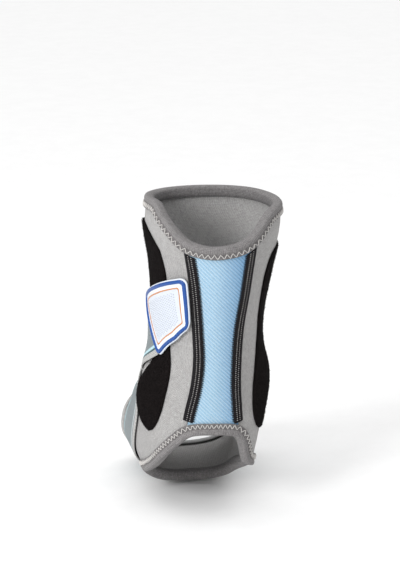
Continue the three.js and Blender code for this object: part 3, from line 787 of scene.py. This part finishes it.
def seam(name, table, node, panel_side):
    """A crowned black band with rungs over it, teeth on the panel and two rows of light stitches."""
    line = SeamLine(table)
    half = SEAM_WIDTH / 2
    at = np.linspace(line.first, line.last, round((line.last - line.first) / 0.8))
    across = np.linspace(-half, half, 15)
    station, angle = line.beside(at[:, None], across)
    crown = 1 - (np.abs(across) / half) ** 4
    inner = raised(station, angle, np.full(station.shape, SEAM_LOW))
    outer = raised(station, angle, np.broadcast_to(mix(SEAM_LOW + 0.35, SEAM_TOP, crown), station.shape))
    u, v = grid_lengths(outer)
    pieces = [wear(sheet_mesh(name, inner, outer, u, v), SEAM_BLACK, "seam", node)]

    at = np.arange(line.first + 0.6, line.last - 0.4, STITCH_PITCH)[:, None]
    across = np.linspace(-half + 0.2, half - 0.2, 9)
    height = SEAM_TOP + 0.05 - 0.45 * (np.abs(across) / half) ** 4
    pieces.append(line.threads(name + "_rungs", at, across, height, 0.34, BLACK_THREAD))
    across = panel_side * np.linspace(half - 0.7, half + 1.2, 5)
    height = SEAM_LOW + np.array([0.6, 0.5, 0.3, 0.15, 0.05])
    pieces.append(line.threads(name + "_teeth", at, across, height, 0.4, BLACK_THREAD))
    across = np.array([-0.5, 0.0, 0.5])
    height = SEAM_TOP + np.array([0.1, 0.26, 0.1])
    for side, label in ((-1, "_outer_stitches"), (1, "_inner_stitches")):
        along = at + side * np.array([-0.1, 0.0, 0.1])
        offset = panel_side * 0.4 + side * 1.05 + across
        pieces.append(line.threads(name + label, along, offset, height, 0.26, LIGHT_THREAD))
    return pieces


# Edge bindings

# The folded tape's section: distance beyond the edge and height over the form
TAPE = np.array([
    (-7.0, 4.0), (-7.08, 4.3), (-6.8, 4.62), (-6.0, 4.75), (-4.5, 4.8), (-3.2, 4.7), (-2.6, 4.45),
    (-2.2, 4.7), (-1.6, 5.0), (-0.8, 5.1), (0.1, 5.0), (0.8, 4.6), (1.25, 3.8), (1.42, 2.6),
    (1.42, 1.0), (1.3, -0.2), (0.9, -1.2), (0.2, -1.85), (-0.8, -2.05), (-3.0, -2.05), (-6.1, -2.0),
    (-6.2, -1.6), (-6.1, -1.15), (-3.0, -1.1), (0.2, -1.1), (0.45, -0.8), (0.45, 3.6), (0.2, 3.95),
    (-3.0, 3.95),
])


class Edge:
    """An edge of the brace as a closed loop of places with even steps."""

    def __init__(self, row, angle, step, away):
        station, angle = on_brace(row, angle)
        points = on_form(station, angle)
        length = np.concatenate([[0], np.cumsum(np.linalg.norm(np.diff(points, axis=0), axis=-1))])
        self.length = length[-1]
        count = round(self.length / step)
        self.at = np.arange(count) * self.length / count
        self.station = np.interp(self.at, length, station)
        self.angle = np.interp(self.at, length, angle)
        self.normal = outward(self.station, self.angle)
        points = on_form(self.station, self.angle)
        run = np.roll(points, -1, 0) - np.roll(points, 1, 0)
        self.side = unit(np.cross(run, self.normal)) * away

    def over(self, out, height):
        """A point for each place of the loop, at a distance beyond the edge and a height."""
        out = np.broadcast_to(out, self.station.shape)
        height = np.broadcast_to(height, self.station.shape)
        station, angle = walk(self.station, self.angle, self.side, np.minimum(out, 0))
        return raised(station, angle, height) + self.side * np.maximum(out, 0)[:, None]


def opening_edge(step):
    """The heel opening's edge, from the middle of its front over the outer side and the top."""
    row, medial, lateral = along_table(OPENING_EDGE, np.linspace(0, OPENING_END, 1441)).T
    return Edge(np.concatenate([row[::-1], row[1:]]), np.concatenate([lateral[::-1], medial[1:]]), step, 1)


def binding(name, edge, material, slot, node, stitch_pitch):
    """A tape folded over an edge, with a zigzag of stitches along it."""
    rings = np.stack([edge.over(out, height) for out, height in TAPE], 1)
    around = np.concatenate([[0], np.cumsum(np.linalg.norm(np.diff(TAPE, axis=0), axis=-1))])
    u = np.broadcast_to(around, rings.shape[:2])
    v = np.broadcast_to(edge.at[:, None], rings.shape[:2])
    tape = wear(shell_mesh(name, rings, u, v), material, slot, node)

    legs = 2 * round(edge.length / stitch_pitch)
    swing = np.abs(edge.at / edge.length * legs % 2 - 1)
    line = edge.over(mix(-6.4, -3.1, swing), 4.9 + 0.12 * np.sin(math.pi * swing))
    zigzag = thread_mesh(name + "_zigzag", line[None], edge.normal[None], 0.3, closed=True)
    return [tape, wear(zigzag, LIGHT_THREAD, slot)]


# Landing pads


def pad(name, table, node, seed):
    """A patch of loop pile: a soft-edged sheet with short bristles."""
    rng = np.random.default_rng(seed)
    share = np.linspace(0, 1, 131)
    share = mix(share, (1 - np.cos(math.pi * share)) / 2, 0.6)
    station = mix(table[0, 0], table[-1, 0], share)
    _, back, front = np.moveaxis(at_value(table, station), -1, 0)
    angle = mix(back[:, None], front[:, None], np.linspace(0, 1, 65))
    station, angle = np.broadcast_arrays(station[:, None], angle)
    ground = on_form(station, angle)
    normal = outward(station, angle)
    rim = np.concatenate([ground[0], ground[:, -1], ground[-1], ground[:, 0]])
    to_rim = np.full(station.shape, np.inf)
    for part in np.array_split(rim, 12):
        to_rim = np.minimum(to_rim, np.linalg.norm(ground[:, :, None] - part, axis=-1).min(-1))
    fluff = rng.normal(0, 0.09, station.shape) * smooth(to_rim)
    top = mix(PAD_LOW + 0.45, PAD_TOP, smooth(to_rim / 1.4) ** 0.6) + fluff
    inner = ground + normal * PAD_LOW
    outer = ground + normal * top[..., None]
    u, v = grid_lengths(outer)
    sheet = wear(sheet_mesh(name, inner, outer, u, v), PILE, "loop", node)

    count = 2600
    i = rng.integers(1, station.shape[0] - 1, count)
    j = rng.integers(1, station.shape[1] - 1, count)
    up = normal[i, j]
    length = rng.uniform(0.35, 0.75, count)[:, None]
    start = outer[i, j] - up * 0.15
    middle = start + up * 0.6 * length
    end = middle + unit(rng.normal(0, 1, (count, 3)) + up * 1.2) * length
    bristles = thread_mesh(name + "_bristles", np.stack([start, middle, end], 1), up[:, None], 0.07, sides=4)
    return [sheet, wear(bristles, PILE, "loop")]


# Straps


class StrapLine:
    """A strap's middle line, measured in millimetres along the form."""

    def __init__(self, table):
        self.table = table
        self.marks = np.arange(12 * (len(table) - 1) + 1) / 12
        points = on_form(*np.moveaxis(along_table(table, self.marks), -1, 0))
        self.lengths = np.concatenate([[0], np.cumsum(np.linalg.norm(np.diff(points, axis=0), axis=-1))])
        self.length = self.lengths[-1]

    def at(self, length):
        mark = np.interp(np.clip(length, 0, self.length), self.lengths, self.marks)
        return np.moveaxis(along_table(self.table, mark), -1, 0)

    def beside(self, length, across):
        """Places at lengths along the line and distances across it."""
        length, across = np.broadcast_arrays(np.asarray(length, float), np.asarray(across, float))
        reach = 1.5
        ahead = on_form(*self.at(np.minimum(length + reach, self.length)))
        behind = on_form(*self.at(np.maximum(length - reach, 0)))
        station, angle = self.at(length)
        side = unit(np.cross(outward(station, angle), ahead - behind))
        return walk(station, angle, side, across)


STRAP_START = GRIP_LEAD + GRIP_LENGTH + JOINT_GAP


def strap(name, line, node, toe_side, high, fall_from, fall_to):
    """Woven elastic from the grip on. It lies high at first, and comes down to the sleeve."""
    length = np.linspace(STRAP_START, line.length, 330)[:, None]
    share = np.linspace(-1, 1, 61)
    across = STRAP_WIDTH / 2 * share + 0 * length
    station, angle = line.beside(length, across)
    low = mix(high, STRAP_LOW, smooth((length - fall_from) / (fall_to - fall_from)))
    edge = np.abs(share) ** 10
    ground = on_form(station, angle)
    normal = outward(station, angle)
    inner = ground + normal * (low + 0.25 * edge)[..., None]
    ridges = 0.07 * np.cos(2 * math.pi * across / 2.4)
    outer = ground + normal * (low + STRAP_THICKNESS - 0.07 + ridges - 0.45 * edge)[..., None]
    u = STRAP_WIDTH / 2 + toe_side * across
    v = np.broadcast_to(length, u.shape)
    return wear(sheet_mesh(name, inner, outer, u, v), WEBBING, "strap", node)


# Grips

# Where the lower side of a grip bends: length and distance across
GRIP_KNEE = (18, 18.1)

# Corners of a grip: length, distance across with the side that faces the underside above zero
GRIP_CORNERS = np.array([
    (0, GRIP_LOWER_END),
    (0, -GRIP_UPPER_END),
    (GRIP_LENGTH, -GRIP_WIDTH / 2),
    (GRIP_LENGTH, GRIP_WIDTH / 2),
    GRIP_KNEE,
])
GRIP_ROUNDS = (6.0, 6.0, 4.0, 4.0, 14.0)


def grip_outline(inset):
    """A grip's outline with round corners, drawn in by an inset."""
    count = len(GRIP_CORNERS)
    run = unit(np.roll(GRIP_CORNERS, -1, 0) - GRIP_CORNERS)
    inward = np.stack([-run[:, 1], run[:, 0]], -1)
    if (inward[0] * (GRIP_CORNERS.mean(0) - GRIP_CORNERS[0])).sum() < 0:
        inward = -inward
    reach = (inward * GRIP_CORNERS).sum(-1) + inset
    corners = []
    for i in range(count):
        corners.append(np.linalg.solve(inward[[i - 1, i]], reach[[i - 1, i]]))
    arcs = []
    for i, round_size in enumerate(GRIP_ROUNDS):
        radius = max(round_size - inset, 1.8)
        back = unit(corners[i - 1] - corners[i])
        ahead = unit(corners[(i + 1) % count] - corners[i])
        half_turn = math.acos(float(back @ ahead)) / 2
        centre = corners[i] + unit(back + ahead) * radius / math.sin(half_turn)
        start = corners[i] + back * radius / math.tan(half_turn) - centre
        end = corners[i] + ahead * radius / math.tan(half_turn) - centre
        sweep = math.pi - 2 * half_turn
        share = np.linspace(0, 1, 11)[:, None]
        arc = start * np.sin((1 - share) * sweep) + end * np.sin(share * sweep)
        arcs.append(centre + arc / math.sin(sweep))
    outline = []
    for i, arc in enumerate(arcs):
        outline.append(arc)
        outline.append(mix(arc[-1], arcs[(i + 1) % count][0], np.linspace(0, 1, 12)[1:-1, None]))
    return np.concatenate(outline)


# A grip's relief: inset from its outline and height over its underside
GRIP_RELIEF = [
    (0.0, 0.25), (0.05, 0.75), (0.3, 1.1), (0.7, 1.2), (0.8, 1.25), (0.9, 1.8), (1.15, 2.25), (1.6, 2.45),
    (2.1, 2.5), (2.6, 2.45), (3.0, 2.25), (3.28, 1.85), (3.4, 1.45), (3.6, 1.35), (5.7, 1.35), (5.85, 1.48),
    (6.3, 1.56), (6.72, 1.48), (6.85, 1.28), (7.2, 1.22),
]
GRIP_FIELD = 1.22
FIELD_INSET = 10.0
DOT_INSET = 16.0
DOT_MARGIN = 8.8
DOT_START = 10.5
DOT_PITCH = 1.8


def grip(name, line, down, low, nodes):
    """A moulded grip: flange, raised rim, flat band, fine line and a dotted field."""

    def place(spots, height):
        length, across = np.moveaxis(spots, -1, 0)
        slant = GRIP_SLANT * across * (1 - length / GRIP_LENGTH)
        station, angle = line.beside(length + slant + GRIP_LEAD, down * across)
        return raised(station, angle, np.broadcast_to(low + height, station.shape))

    def outwards(faces):
        return [np.asarray(face)[..., ::down] for face in faces]

    outlines = [(inset, height, grip_outline(inset)) for inset, height in GRIP_RELIEF]
    base = outlines[0][2]
    last = outlines[-1][2]
    centre = last.mean(0)
    under = [(0.0, 0.0, mix(centre, base, share)) for share in (0.0, 0.3, 0.6, 0.85, 1.0)]
    field = [(FIELD_INSET, GRIP_FIELD, mix(last, centre, share)) for share in np.linspace(0, 1, 8)[1:]]
    layers = under + outlines + field
    count = len(base)
    points = np.stack([place(spots, height) for _, height, spots in layers])
    index = np.arange(len(layers) * count).reshape(-1, count)
    index[0] = index[0, 0]
    index[-1] = index[-1, 0]
    a = index[:-1]
    b = np.roll(index, -1, 1)[:-1]
    c = np.roll(index, -1, 1)[1:]
    d = index[1:]
    faces = [
        np.stack([a[0], c[0], d[0]], -1),
        np.stack([a[1:-1], b[1:-1], c[1:-1], d[1:-1]], -1).reshape(-1, 4),
        np.stack([a[-1], b[-1], d[-1]], -1),
    ]
    insets = np.repeat([inset for inset, _, _ in layers], count)
    plate = make_object(name, points.reshape(-1, 3), outwards(faces), np.stack([insets, insets], -1))
    wear(plate, MOULDED, "grip", *nodes)

    dots = []
    for i, length in enumerate(np.arange(DOT_START, GRIP_LENGTH - DOT_MARGIN, DOT_PITCH * math.sqrt(0.75))):
        lower = np.interp(length, (0, GRIP_KNEE[0], GRIP_LENGTH), (GRIP_LOWER_END, GRIP_KNEE[1], GRIP_WIDTH / 2))
        across = (np.arange(-14, 15) + 0.5 * (i % 2)) * DOT_PITCH
        across = across[(across < lower - DOT_MARGIN) & (across > DOT_MARGIN - GRIP_UPPER_END)]
        dots += [(length, x) for x in across]
    turn = np.arange(8) * math.pi / 4
    circle = np.stack([np.cos(turn), np.sin(turn)], -1)
    profile = ((0.46, -0.1), (0.42, 0.1), (0.22, 0.2))
    rings = [place(np.array(dots)[:, None] + radius * circle, GRIP_FIELD + lift) for radius, lift in profile]
    rings = np.stack(rings, 1)
    index = np.arange(rings.size // 3).reshape(rings.shape[:3])
    here = index[:, :-1]
    above = index[:, 1:]
    walls = np.stack([here, np.roll(here, -1, 2), np.roll(above, -1, 2), above], -1).reshape(-1, 4)
    faces = outwards([walls, index[:, -1], index[:, 0, ::-1]])
    dotted = make_object(name + "_dots", rings.reshape(-1, 3), faces, np.full((index.size, 2), DOT_INSET))
    return [plate, wear(dotted, MOULDED, "grip")]


# The whole brace

add_studio()
around = np.linspace(-180, 180, 1441)
trim = seam("lateral_flatlock", LATERAL_SEAM, "lateral_seam", 1)
trim += seam("medial_flatlock", MEDIAL_SEAM, "medial_seam", -1)
trim += binding("top_tape", Edge(TOP_ROW, around, 0.5, -1), BINDING_KNIT, "binding", "top_binding", 3.6)
trim += binding("heel_tape", opening_edge(0.45), BINDING_KNIT, "binding", "heel_binding", 2.8)
trim += binding("toe_tape", Edge(TOE_ROW, around + 180, 0.5, 1), HEM_KNIT, "hem", "toe_binding", 3.6)
trim += pad("lateral_pile", LATERAL_PAD, "lateral_loop_pad", 11)
trim += pad("medial_pile", MEDIAL_PAD, "medial_loop_pad", 12)

lateral_line = StrapLine(LATERAL_STRAP)
medial_line = StrapLine(MEDIAL_STRAP)
# The lengths between which each strap comes down to the sleeve
LATERAL_FALL = (66, 92)
MEDIAL_FALL = (122, 150)
lateral_strap = strap("lateral_webbing", lateral_line, "lateral_strap", -1, STRAP_OVER_PAD, *LATERAL_FALL)
medial_strap = strap("medial_webbing", medial_line, "medial_strap", 1, STRAP_OVER_STRAP, *MEDIAL_FALL)
lateral_grip = grip("lateral_grip", lateral_line, 1, STRAP_OVER_PAD, ["lateral_tab", "lateral_tab_rim"])
medial_grip = grip("medial_grip", medial_line, -1, STRAP_OVER_STRAP, ["medial_tab", "medial_tab_rim"])

# The sleeve and the back panel
sleeve()
back_panel()
